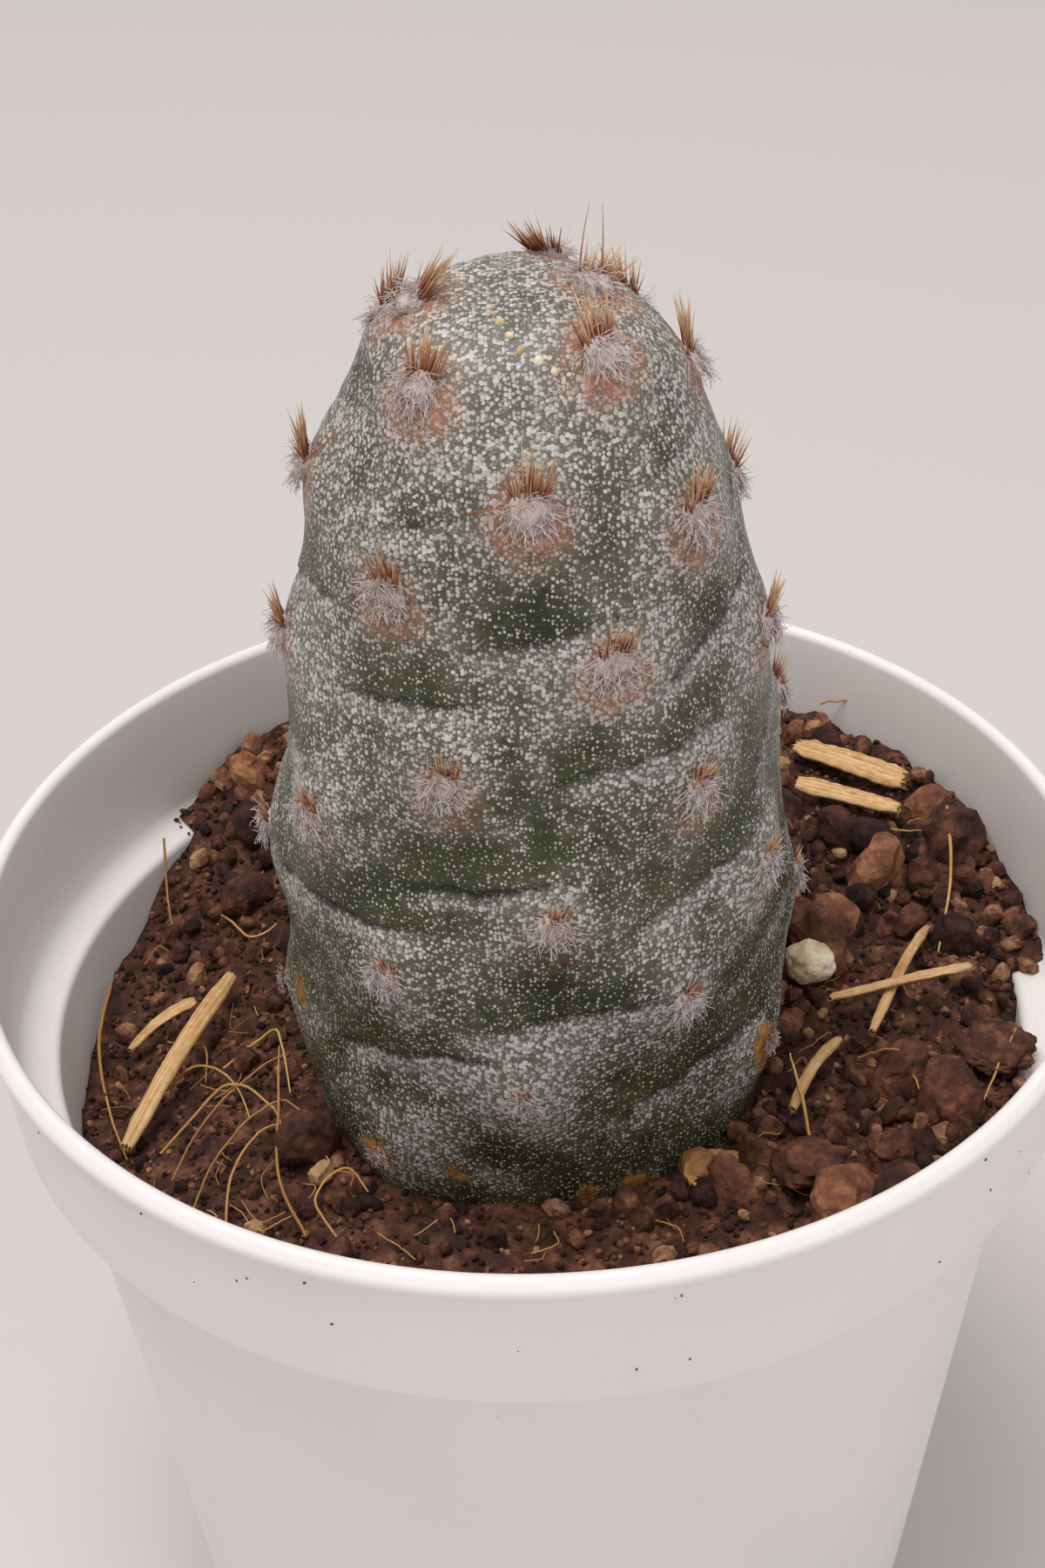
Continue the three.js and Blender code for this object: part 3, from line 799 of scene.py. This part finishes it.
def makeSoilBed():
    around, rings = soilSet["around"], soilSet["rings"]
    points = []
    for k in range(around):
        a = 2 * math.pi * k / around
        cosA, sinA = math.cos(a), math.sin(a)
        reach = 23.4
        for _ in range(4):
            top = soilTop(reach * cosA, reach * sinA)
            reach = wallRadius(top) - 0.05
        for ring in range(rings):
            t = ring / (rings - 1)
            # rings start inside the stem and end at the wall
            x = (soilSet["inner"] * (1 - t) + reach * t) * cosA
            y = stemSet["y"] * (1 - t) + (soilSet["inner"] * (1 - t) + reach * t) * sinA
            points.append((x, y, soilTop(x, y)))
    grid = [points[k * rings + ring] for ring in range(rings) for k in range(around)]
    # a skirt down the wall and across the pot's floor closes the bed
    edge = grid[-around:]
    ledgeTop = potSet["step"] + potSet["wall"] + 0.1
    for share in (1.0, 0.94, 0.5, 0.0):
        for x, y, top in edge:
            # the first ring of the skirt goes in over the ledge, so that nothing cuts through it
            z = min(top - 0.15, ledgeTop) if share == 1.0 else 2.6 + (min(top, ledgeTop) - 2.6) * share
            squeeze = (wallRadius(min(z, 41.0)) - 0.2) / math.hypot(x, y)
            grid.append((x * squeeze, y * squeeze, z))
    grid.append((0.0, 0.0, 2.6))
    grid.append((0.0, stemSet["y"], 41.0))
    faces = gridFaces(rings + 4, around)
    last = (rings + 3) * around
    faces += [(last + k, len(grid) - 2, last + (k + 1) % around) for k in range(around)]
    faces += [(k, (k + 1) % around, len(grid) - 1) for k in range(around)]
    bed = meshObject("soilBed", np.array(grid) * mm, faces, pottingMix)
    return finishPiece(bed, "potting_soil", "soil")


makeSoilBed()
print("soil bed ready")


# a tree that scatters crumbs over the points that it is given and roughens each of them
def makeCrumbTree():
    tree, entry, out = newTree("crumbs", [("Faces", "NodeSocketInt", 1), ("Roughen", "NodeSocketFloat",
                                                                          0.3),
                                          ("Grain", "NodeSocketFloat", 1000.0),
                                          ("Seed", "NodeSocketInt", 1),
                                          ("Material", "NodeSocketMaterial", None)])
    dots = addNode(tree, "GeometryNodeMeshToPoints", {0: entry.outputs["Geometry"]})
    ball = addNode(tree, "GeometryNodeMeshIcoSphere",
                   {"Radius": 1.0, "Subdivisions": entry.outputs["Faces"]})
    size = addNode(tree, "GeometryNodeInputNamedAttribute", {"Name": "size"}, data_type="FLOAT").outputs[0]
    spin = addNode(tree, "FunctionNodeRandomValue", {0: (0, 0, 0), 1: (6.283, 6.283, 6.283),
                                                     "Seed": entry.outputs["Seed"]},
                   data_type="FLOAT_VECTOR")
    squash = addNode(tree, "FunctionNodeRandomValue", {0: (0.7, 0.6, 0.5), 1: (1.2, 1.0, 0.8),
                                                       "Seed": entry.outputs["Seed"]},
                     data_type="FLOAT_VECTOR")
    scale = addNode(tree, "ShaderNodeVectorMath", {0: squash.outputs[0], 3: size}, operation="SCALE")
    placed = addNode(tree, "GeometryNodeInstanceOnPoints",
                     {"Points": dots.outputs[0], "Instance": ball.outputs[0], "Rotation": spin.outputs[0],
                      "Scale": scale.outputs[0]})
    realized = addNode(tree, "GeometryNodeRealizeInstances", {0: placed.outputs[0]})
    position = addNode(tree, "GeometryNodeInputPosition").outputs[0]
    wave = addNoise(tree, position, entry.outputs["Grain"], 5.0, 0.62)
    centred = addNode(tree, "ShaderNodeVectorMath", {0: wave.outputs["Color"], 1: (0.5, 0.5, 0.5)},
                      operation="SUBTRACT")
    amount = addNode(tree, "ShaderNodeMath", {0: size, 1: entry.outputs["Roughen"]},
                     operation="MULTIPLY").outputs[0]
    offset = addNode(tree, "ShaderNodeVectorMath", {0: centred.outputs[0], 3: amount}, operation="SCALE")
    moved = addNode(tree, "GeometryNodeSetPosition", {"Geometry": realized.outputs[0],
                                                      "Offset": offset.outputs[0]})
    coated = addNode(tree, "GeometryNodeSetMaterial", {"Geometry": moved.outputs[0],
                                                       "Material": entry.outputs["Material"]})
    tree.links.new(coated.outputs[0], out.inputs[0])
    return tree


crumbTree = makeCrumbTree()
crumbSet = {"reach": 26.2, "stemGap": 11.2, "bigShare": 0.25, "sandCount": 6500, "sandSize": (0.10, 0.26),
            "crumbCount": 1350, "crumbSize": (0.3, 0.75), "lumpCount": 120, "lumpSize": (0.9, 1.9)}


looseBoxes = [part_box(n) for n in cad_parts
              if n not in ("pot", "soil", "stem") and not n.startswith("areole")]


def underLoose(x, y, margin):
    for low, high in looseBoxes:
        if low.x / mm - margin < x < high.x / mm + margin and low.y / mm - margin < y < high.y / mm + margin:
            return True
    return False


def scatterPoints(count, sizes, seed, weight=None, sink=0.3):
    random.seed(seed)
    places = []
    while len(places) < count:
        a, r = random.uniform(-math.pi, math.pi), crumbSet["reach"] * math.sqrt(random.random())
        x, y = r * math.cos(a), r * math.sin(a)
        size = random.uniform(*sizes) if random.random() > crumbSet["bigShare"] else sizes[1] * random.uniform(0.8, 1.15)
        if math.hypot(x, y - stemSet["y"]) < crumbSet["stemGap"] + size * 0.6:
            continue
        top = soilTop(x, y)
        if r > wallRadius(top + 0.2) - size * 0.9:
            continue
        if weight and random.random() > weight(x, y):
            continue
        if size > 0.3 and underLoose(x, y, size * 0.3):
            continue
        places.append(((x, y, top + size * (1 - sink) * random.uniform(0.1, 0.8)), size))
    return places


def crumbPiece(name, places, material, faces, roughen, grain, seed):
    mesh = bpy.data.meshes.new(name)
    mesh.from_pydata([tuple(np.array(p) * mm) for p, _ in places], [], [])
    piece = bpy.data.objects.new(name, mesh)
    scene.collection.objects.link(piece)
    setAttribute(piece, "size", [size * mm for _, size in places])
    setAttribute(piece, "shade", [random.gauss(0, 0.13) for _ in places])
    runTree(piece, crumbTree, Faces=faces, Roughen=roughen, Grain=grain, Seed=seed, Material=material)
    return finishPiece(piece, "potting_soil")


crumbPiece("soilSand", scatterPoints(crumbSet["sandCount"], crumbSet["sandSize"], 21), pottingMix, 1, 0.9,
           2500.0, 3)
crumbPiece("soilCrumbs", scatterPoints(crumbSet["crumbCount"], crumbSet["crumbSize"], 22, coarseness),
           barkCrumb, 2, 1.1, 1300.0, 4)
crumbPiece("soilLumps", scatterPoints(crumbSet["lumpCount"], crumbSet["lumpSize"], 23, lambda x,
                                      y: coarseness(x, y) ** 2, 0.6), lavaCrumb, 3, 1.1, 520.0, 5)
print("crumbs ready")


# loose lumps: porous balls that fill the place of their solids
def makeLump(name, node, material, slotName, rough, seed):
    low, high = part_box(node)
    centre = (low + high) / 2
    half = (high - low) / 2
    bpy.ops.mesh.primitive_ico_sphere_add(subdivisions=5, radius=1.0)
    ball = bpy.context.object
    points = []
    for vertex in ball.data.vertices:
        n = vertex.co.normalized()
        swell = 1.0 + rough * noise.noise(n * 1.7
                                          + Vector((seed, 0, 0))) + rough * 0.5 * noise.noise(n * 4.1
                                                                                              + Vector((0, seed, 0)))
        pit = noise.cell(n * 9 + Vector((seed, seed, 0)))
        swell += rough * 0.22 * noise.noise(n * 11) - rough * 0.1 * max(0, pit - 0.6)
        points.append(Vector((n.x * half.x, n.y * half.y, n.z * half.z)) * swell + centre
                      - Vector((0, 0, 0.35 * mm)))
    faces = [tuple(p.vertices) for p in ball.data.polygons]
    bpy.data.objects.remove(ball)
    piece = meshObject(name, points, faces, material)
    return finishPiece(piece, slotName, node)


makeLump("perliteBead", "perlite_bead", perliteMix, "perlite", 0.14, 1.0)
makeLump("lavaLumpLeft", "lava_lump_left", lavaCrumb, "bark", 0.34, 2.0)
makeLump("lavaLumpRight", "lava_lump_right", lavaCrumb, "bark", 0.34, 3.0)
makeLump("barkFlake", "bark_flake", barkCrumb, "bark", 0.30, 4.0)
print("lumps ready")


# flat dry strips: split stems with long ridges and frayed ends
def stripEnds(node):
    points = nodePoints(node)
    centre = points.mean(axis=0)
    axis = np.linalg.svd(points - centre)[2][0]
    reach = (points - centre) @ axis
    return centre + axis * reach.min(), centre + axis * reach.max()


def makeStrip(name, node, width, thickness, curl, twist, seed, slotName="straw", arch=0.0):
    start, end = stripEnds(node)
    direction = (end - start) / np.linalg.norm(end - start)
    up = np.array([0, 0, 1.0])
    side = np.cross(up, direction)
    side /= np.linalg.norm(side)
    up = np.cross(direction, side)
    steps, across = 60, 14
    points = []
    random.seed(seed)
    for i in range(steps + 1):
        t = i / steps
        narrowing = 1 - 0.35 * max(0, abs(t - 0.5) - 0.38) / 0.12
        centre = start + (end - start) * t + up * (arch * math.sin(math.pi * t) * mm)
        centre = centre + side * (0.25 * mm * math.sin(2.2 * t + seed))
        roll = twist * (t - 0.5)
        for layer in (1, -1):
            for k in range(across + 1):
                v = (k / across - 0.5) * layer
                w = v * width * narrowing * (1 + 0.10 * noise.noise(Vector((t * 6, seed, 0)))) * mm
                ridge = 0.12 * thickness * math.sin(v * 31
                                                    + seed) + 0.18 * thickness * noise.noise(Vector((t * 12,
                                                                                                     v * 9, seed)))
                h = (layer * thickness * 0.5 * math.sqrt(max(0.05, 1 - (2 * v) ** 2)) + ridge
                     + curl * (2 * v) ** 2) * mm
                fray = 0.35 * mm * noise.noise(Vector((v * 16, seed,
                                                       2.0))) * (1 if i == steps else -1 if i == 0 else 0)
                across3 = side * (w * math.cos(roll) - h * math.sin(roll)) + up * (w * math.sin(roll)
                                                                                   + h * math.cos(roll))
                points.append(centre + across3 + direction * fray)
    columns = 2 * (across + 1)
    faces = gridFaces(steps + 1, columns)
    faces = [tuple(reversed(face)) for face in faces]
    for row, flip in ((0, False), (steps, True)):
        base = row * columns
        for k in range(across):
            quad = (base + k, base + k + 1, base + columns - 2 - k, base + columns - 1 - k)
            faces.append(tuple(reversed(quad)) if flip else quad)
    piece = meshObject(name, points, faces, dryStraw)
    tones = []
    for i in range(steps + 1):
        for k in range(columns):
            tones.append(0.45 + 0.3 * math.sin(k * 1.9 + seed) * 0.5
                         + 0.25 * noise.noise(Vector((i * 0.05, k * 0.8, seed))))
    setAttribute(piece, "along", tones)
    setAttribute(piece, "tint", [0.0] * len(tones))
    return finishPiece(piece, slotName, node)


makeStrip("barkStripBack", "bark_strip_back", 1.7, 0.6, 0.10, 0.3, 1.0)
makeStrip("barkStripFront", "bark_strip_front", 1.3, 0.5, 0.15, -0.3, 2.0)
makeStrip("paleStraw", "pale_straw", 1.0, 0.45, -0.12, 0.5, 3.0, arch=0.7)
makeStrip("strawBlade", "straw_blade", 0.7, 0.25, 0.10, 0.5, 4.0, arch=0.5)
makeStrip("strawLong", "straw_long", 0.5, 0.36, 0.0, 0.4, 5.0, arch=0.5)
makeStrip("strawCross", "straw_cross", 0.5, 0.36, 0.0, 0.3, 6.0)
makeStrip("strawShort", "straw_short", 0.55, 0.36, 0.0, 0.3, 7.0, arch=0.5)
print("strips ready")


# root fibres: thin golden curls lying on the soil, each through a few points of the ground
fibreSet = {"radius": 0.085, "step": 9}
fibreRoutes = [
    [(-17.8, -10.6, 0.4), (-15.8, -6.6, 1.2), (-12.6, -4.2, 1.4)],
    [(-18.6, -8.4, 0.3), (-15.6, -5.8, 1.6), (-13.0, -7.4, 0.8), (-12.4, -9.6, 0.3)],
    [(-16.6, -13.0, 0.2), (-15.4, -9.8, 1.2), (-12.6, -7.6, 1.5), (-10.6, -9.4, 0.8)],
    [(-14.8, -15.2, 0.3), (-14.6, -11.6, 1.3), (-12.4, -9.0, 1.3), (-9.9, -11.6, 0.3)],
    [(-9.2, -16.6, 0.3), (-10.6, -14.2, 1.2), (-9.2, -12.6, 1.4), (-8.2, -13.4, 0.5)],
    [(-11.0, -15.6, 0.2), (-12.4, -12.4, 1.3), (-12.6, -8.6, 1.9), (-12.9, -3.8, 1.6)],
    [(-20.6, -4.6, 0.3), (-17.6, -2.6, 1.0), (-15.4, -4.4, 0.9), (-14.2, -7.4, 0.4)],
    [(-16.0, -2.6, 0.4), (-13.6, -1.4, 1.2), (-12.8, -3.6, 1.6), (-12.2, -6.8, 1.0)],
    [(-19.4, 1.4, 0.3), (-17.2, -0.6, 1.0), (-16.8, -3.6, 0.6)],
    [(-22.6, 4.6, 1.6), (-23.0, 1.4, 0.9), (-22.0, -3.0, 0.3), (-20.4, -7.8, 0.3)],
    [(-20.2, 12.6, 2.4), (-20.0, 10.2, 1.2), (-19.6, 8.6, 0.2)],
    [(-17.0, 9.0, 0.4), (-15.2, 6.6, 1.1), (-13.8, 7.0, 0.5)],
    [(15.4, -6.2, 0.3), (17.4, -7.2, 1.2), (18.2, -9.6, 0.7), (20.2, -10.0, 0.3)],
    [(23.4, -4.8, 1.5), (22.4, -7.0, 1.3), (20.9, -9.6, 0.4)],
    [(21.8, 8.6, 2.8), (21.6, 5.2, 1.4), (20.4, 1.0, 0.3)],
    [(15.4, 9.6, 0.4), (18.4, 8.4, 1.2), (20.8, 9.0, 0.5)],
    [(12.6, -12.0, 0.3), (12.2, -9.4, 1.5), (11.9, -7.6, 2.2)],
    [(16.4, 19.4, 1.4), (19.0, 19.0, 2.2), (22.2, 16.4, 3.0)],
    [(9.0, 20.6, 0.4), (12.4, 19.0, 1.3), (14.2, 20.2, 0.6)],
    [(-6.0, 20.4, 0.4), (-2.6, 18.2, 1.4), (1.6, 19.6, 0.5)],
    [(-12.0, 17.0, 0.4), (-9.4, 14.8, 1.2), (-7.6, 17.4, 0.4)],
]


def groundCurve(route):
    dense = catmullRom(route, fibreSet["step"])
    return [np.array([x, y, soilTop(x, y) + 0.12 + max(0.0, lift)]) for x, y, lift in dense]


def makeRootFibres():
    random.seed(31)
    strands = []
    for route in fibreRoutes:
        strands.append({"path": groundCurve(route), "radius": fibreSet["radius"] * random.uniform(0.75,
                                                                                                  1.15),
                        "taper": 0.55, "power": 2.0, "tint": random.uniform(-0.2, 0.35), "gradient": 0.6})
    # short broken hairs of root all over the bed
    for _ in range(120):
        a, r = random.uniform(-math.pi, math.pi), random.uniform(13, 23)
        x, y = r * math.cos(a), r * math.sin(a)
        if math.hypot(x, y - stemSet["y"]) < 12.6:
            continue
        heading, reach = random.uniform(0, 2 * math.pi), random.uniform(0.8, 2.4)
        route = []
        for k in range(3):
            bendTurn = heading + k * random.uniform(-0.5, 0.5)
            route.append((x + reach * k / 2 * math.cos(bendTurn), y + reach * k / 2 * math.sin(bendTurn),
                          random.uniform(0.1, 0.5)))
        if max(math.hypot(px, py) for px, py, _ in route) > 23.0:
            continue
        strands.append({"path": groundCurve(route), "radius": random.uniform(0.025, 0.05), "taper": 0.5,
                        "tint": random.uniform(-0.3, 0.3), "gradient": 0.6})
    finishPiece(strandPiece("rootFibres", strands, rootFibre, 6), "straw")


makeRootFibres()


# long bristles: a few stray hairs of the plant, much longer than the rest
longBristles = [((2.6, -3.6, 81.9), (0.02, 0.1, 1), 3.6, 0.2), ((3.5, -2.8, 81.7), (0.12, 0.1, 1), 3.4,
                                                                -0.15),
                ((-9.0, -5.2, 75.4), (0.75, -0.1, 0.75), 3.4, 0.1),
                ((10.3, -7.0, 66.8), (-0.75, -0.3, 0.75), 3.4, 0.2),
                ((10.6, -5.6, 67.0), (-0.9, -0.2, 0.35), 3.6, -0.2),
                ((-2.1, -11.6, 76.2), (0.95, -0.3, 0.35), 3.0, 0.0)]


def makeLongBristles():
    random.seed(41)
    strands = []
    for start, direction, length, bend in longBristles:
        path = bentPath(np.array(start), np.array(direction), length, np.array([bend, 0, -0.1]), 8)
        strands.append({"path": path, "radius": 0.055, "taper": 0.8, "tint": 0.15, "gradient": 0.5})
    finishPiece(strandPiece("longBristles", strands, glochidHorn, 6), "wool")


makeLongBristles()
print("fibres ready")


# dirt: a few brown specks stuck to the collar, and cream seeds in the scar on the crown
def makeSpecks():
    random.seed(51)
    places = []
    for _ in range(30):
        a = math.radians(random.gauss(-85, 55))
        z = random.uniform(43.0, 48.2)
        places.append(((collarRadius(z) * math.cos(a), collarRadius(z) * math.sin(a), z),
                       random.uniform(0.04, 0.10)))
    crumbPiece("dirtSpecks", places, barkCrumb, 1, 0.8, 3000.0, 7)


def makeSeeds():
    random.seed(52)
    places = []
    for angle, height in ((-94, 80.9), (-88, 80.6), (-80, 80.3), (-101, 81.1), (-74, 80.0), (-108, 81.2)):
        nearest = np.argmin(np.abs(outlineFine[:, 1] - height))
        place, _ = skinPlace(math.radians(angle), outlineLength[nearest])
        places.append((tuple(place), random.uniform(0.16, 0.24)))
    crumbPiece("creamSeeds", places, perliteMix, 3, 0.5, 1500.0, 8)


makeSpecks()
makeSeeds()


# dry leaf scrap: a crinkled blade lying by the stem
def makeLeafScrap():
    start, end = np.array([6.6, -14.2]), np.array([9.6, -12.2])
    steps, across = 26, 10
    direction = (end - start) / np.linalg.norm(end - start)
    sideways = np.array([-direction[1], direction[0]])
    layers = []
    for layer in (0.06, -0.06):
        for i in range(steps + 1):
            t = i / steps
            half = 0.95 * math.sin(math.pi * min(1, 0.08 + t)) ** 0.7 * (1
                                                                         + 0.3 * noise.noise(Vector((t * 7,
                                                                                                     1, 0))))
            for k in range(across + 1):
                v = 2 * k / across - 1
                x, y = start + (end - start) * t + sideways * v * half
                crinkle = 0.35 * noise.noise(Vector((t * 5, v * 2.2, 3))) + 0.3 * v * v
                layers.append((x, y, soilTop(x, y) + 0.45 + crinkle + layer))
    columns, sheet = across + 1, (steps + 1) * (across + 1)
    faces = []
    for i in range(steps):
        for k in range(across):
            a = i * columns + k
            faces.append((a, a + 1, a + columns + 1, a + columns))
            faces.append(tuple(sheet + v for v in (a, a + columns, a + columns + 1, a + 1)))
    rim = ([k for k in range(columns)] + [i * columns + across for i in range(1, steps + 1)]
           + [steps * columns + k for k in range(across - 1, -1, -1)]
           + [i * columns for i in range(steps - 1, 0, -1)])
    for a, b in zip(rim, rim[1:] + rim[:1]):
        faces.append((b, a, sheet + a, sheet + b))
    leaf = meshObject("leafScrap", np.array(layers) * mm, faces, dryStraw)
    setAttribute(leaf, "along", [0.28 + 0.2 * noise.noise(Vector(p) * 2.0) for p in layers])
    setAttribute(leaf, "tint", [0.0] * len(layers))
    finishPiece(leaf, "straw")


makeLeafScrap()
print("specks, seeds and leaf ready")


# floor and light: a plain pale sweep under large soft lamps
stageSet = {"halfSize": 12.0, "paper": "cfcac8", "sky": "f4f2f2", "skyStrength": 0.6}


def makeStage():
    material, tree, shader, place = newMaterial("paperSweep", 0.95)
    shader.inputs["Base Color"].default_value = linear(stageSet["paper"])
    size = stageSet["halfSize"]
    mesh = bpy.data.meshes.new("floor")
    mesh.from_pydata([(-size, -size, 0), (size, -size, 0), (size, size, 0), (-size, size, 0)], [],
                     [(0, 1, 2, 3)])
    mesh.materials.append(material)
    floor = bpy.data.objects.new("floor", mesh)
    scene.collection.objects.link(floor)


def addLamp(name, place, aim, size, watts, hexText):
    data = bpy.data.lights.new(name, "AREA")
    data.shape = "DISK"
    data.size = size
    data.energy = watts
    data.color = linear(hexText)[:3]
    lamp = bpy.data.objects.new(name, data)
    scene.collection.objects.link(lamp)
    lamp.location = place
    lamp.rotation_euler = (Vector(aim) - Vector(place)).to_track_quat("-Z", "Y").to_euler()


def makeLight():
    world = bpy.data.worlds.new("studio")
    world.use_nodes = True
    world.node_tree.nodes["Background"].inputs[0].default_value = linear(stageSet["sky"])
    world.node_tree.nodes["Background"].inputs[1].default_value = stageSet["skyStrength"]
    scene.world = world
    addLamp("keyLamp", (-0.15, -0.05, 0.8), (0, 0, 0.05), 0.45, 4.0, "fffaf6")
    addLamp("fillLamp", (0.35, -0.55, 0.45), (0, 0, 0.05), 0.5, 0.8, "f6f8ff")
    scene.view_settings.view_transform = "Standard"


makeStage()
makeLight()
print("stage ready")
